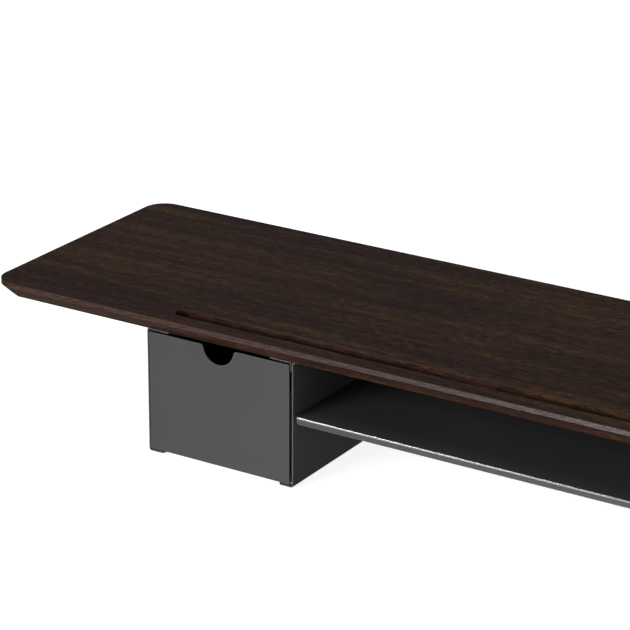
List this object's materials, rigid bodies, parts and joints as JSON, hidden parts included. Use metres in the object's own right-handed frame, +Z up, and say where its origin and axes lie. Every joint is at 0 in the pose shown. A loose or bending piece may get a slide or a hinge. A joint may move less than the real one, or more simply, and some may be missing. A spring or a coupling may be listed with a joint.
{
  "type": "desk shelf",
  "caption": "Low dark wood desk shelf with a device groove, two sheet-metal housings with pull-out drawers, and a metal shelf between them.",
  "frame": {"origin": "middle of the footprint, on the desk surface that the pads stand on", "axes": "+X along the board to the right as seen from the front, the drawers open towards -Y, +Z up"},
  "size_m": [1.07, 0.245, 0.1275],
  "materials": {
    "dark_wood": "satin",
    "housing_powder_coat": "matte",
    "drawer_powder_coat": "matte",
    "black_steel": "satin",
    "zinc_steel": "satin",
    "nylon": "matte",
    "rubber": "matte"
  },
  "bodies": {
    "root": {"board": "dark_wood", "under_shelf": "housing_powder_coat", "shelf_screws": "black_steel", "left_outer_side_panel": "housing_powder_coat", "left_inner_side_panel": "housing_powder_coat", "left_keeper_angle": "housing_powder_coat", "left_back_panel": "housing_powder_coat", "left_back_rivets": "black_steel", "left_board_screws": "zinc_steel", "left_glide_strips": "nylon", "left_drawer_stops": "nylon", "left_rear_bumpers": "rubber", "left_anti_slip_pads": "rubber", "right_outer_side_panel": "housing_powder_coat", "right_inner_side_panel": "housing_powder_coat", "right_keeper_angle": "housing_powder_coat", "right_back_panel": "housing_powder_coat", "right_back_rivets": "black_steel", "right_board_screws": "zinc_steel", "right_glide_strips": "nylon", "right_drawer_stops": "nylon", "right_rear_bumpers": "rubber", "right_anti_slip_pads": "rubber"},
    "left_drawer": {"left_drawer_tray": "housing_powder_coat", "left_drawer_front": "drawer_powder_coat", "left_drawer_front_nuts": "zinc_steel"},
    "right_drawer": {"right_drawer_tray": "housing_powder_coat", "right_drawer_front": "drawer_powder_coat", "right_drawer_front_nuts": "zinc_steel"}
  },
  "joints": [
    {"name": "left_drawer_slide", "type": "slide", "parent": "root", "child": "left_drawer", "axis": [0, -1, 0], "range_m": [0, 0.15]},
    {"name": "right_drawer_slide", "type": "slide", "parent": "root", "child": "right_drawer", "axis": [0, -1, 0], "range_m": [0, 0.15]}
  ]
}
